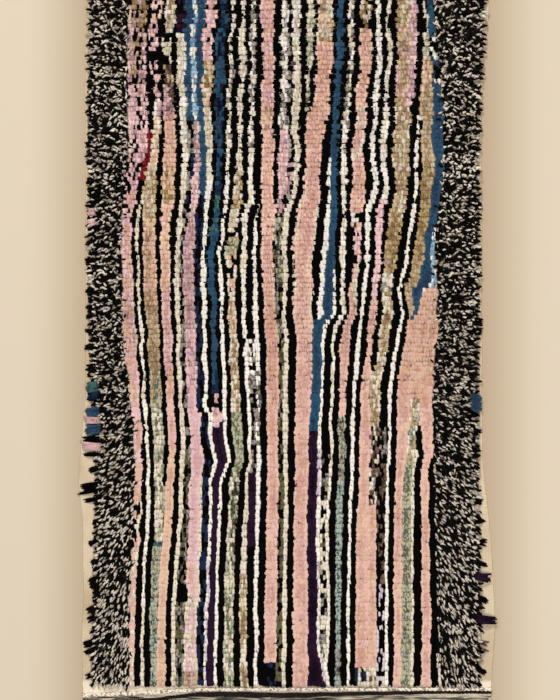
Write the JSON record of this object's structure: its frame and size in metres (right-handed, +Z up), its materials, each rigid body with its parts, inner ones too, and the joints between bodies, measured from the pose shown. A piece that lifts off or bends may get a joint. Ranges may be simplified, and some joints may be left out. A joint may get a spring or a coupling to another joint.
{
  "type": "boucherouite rug",
  "caption": "Hand-knotted rag rug with lengthwise stripes, dark speckled shag side borders, flat-woven end hems and loose locks along both long sides.",
  "frame": {"origin": "middle of the rug on the surface that it lies on", "axes": "+Y along the rug from its foot to its head, +X across it to the right, +Z up through its thickness"},
  "size_m": [1.1018, 2, 0.027],
  "materials": {
    "rag_pile": "short knotted pile of torn cotton, wool and jersey rags in pink, cream, sage, tan, blue and black, matt and uneven",
    "ground_weave": "undyed plain weave of wool and cotton yarn, matt, cream, with a dark twined line across each end",
    "border_shag": "thin rag strips left longer than the field, black and off-white mixed, lying loose"
  },
  "bodies": {
    "root": {"rug": "rag_pile"}
  },
  "joints": []
}
